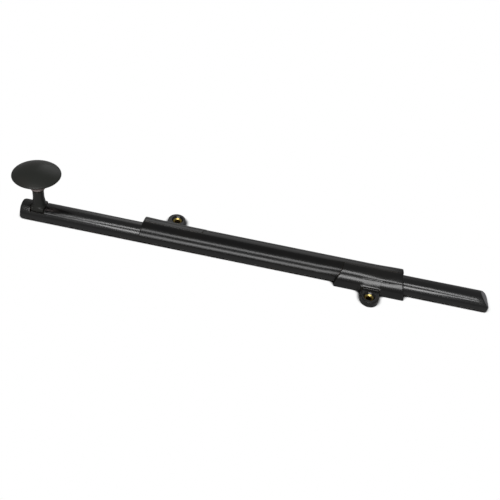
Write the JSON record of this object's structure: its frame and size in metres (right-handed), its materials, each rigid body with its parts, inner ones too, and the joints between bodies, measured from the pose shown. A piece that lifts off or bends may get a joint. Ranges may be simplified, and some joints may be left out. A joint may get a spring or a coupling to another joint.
{
  "type": "barrel bolt",
  "caption": "Surface-mounted barrel bolt: a half-round bar with a mushroom knob slides in a long arched housing held by two diagonal screw ears.",
  "frame": {"origin": "on the door's surface, under the middle of the housing, on the back plate's underside", "axes": "+X along the bar towards its bevelled tip, +Z away from the door towards the knob, -Y on the side of the front bracket's ear"},
  "size_m": [0.2593, 0.0394, 0.0311],
  "materials": {
    "bronze": "oil-rubbed black bronze over solid brass, satin",
    "knob_bronze": "oil-rubbed black bronze over solid brass, soft matte",
    "raw_brass": "bare brass, lightly brushed",
    "steel": "plain spring and screw steel"
  },
  "bodies": {
    "housing": {"housing_cover": "bronze", "front_bracket": "bronze", "rear_bracket": "bronze", "back_plate": "raw_brass", "friction_spring": "steel", "spring_rivet": "raw_brass", "stop_pin": "raw_brass", "plate_screw_1": "steel", "plate_screw_2": "steel", "plate_screw_3": "steel", "plate_screw_4": "steel"},
    "bolt": {"bolt_bar": "bronze", "knob": "knob_bronze", "knob_post": "knob_bronze", "knob_washer": "raw_brass", "knob_stud": "steel", "knob_screw": "steel"}
  },
  "joints": [
    {"name": "bolt_slide", "type": "slide", "parent": "housing", "child": "bolt", "axis": [1, 0, 0], "range_m": [-0.044, 0.038]}
  ]
}
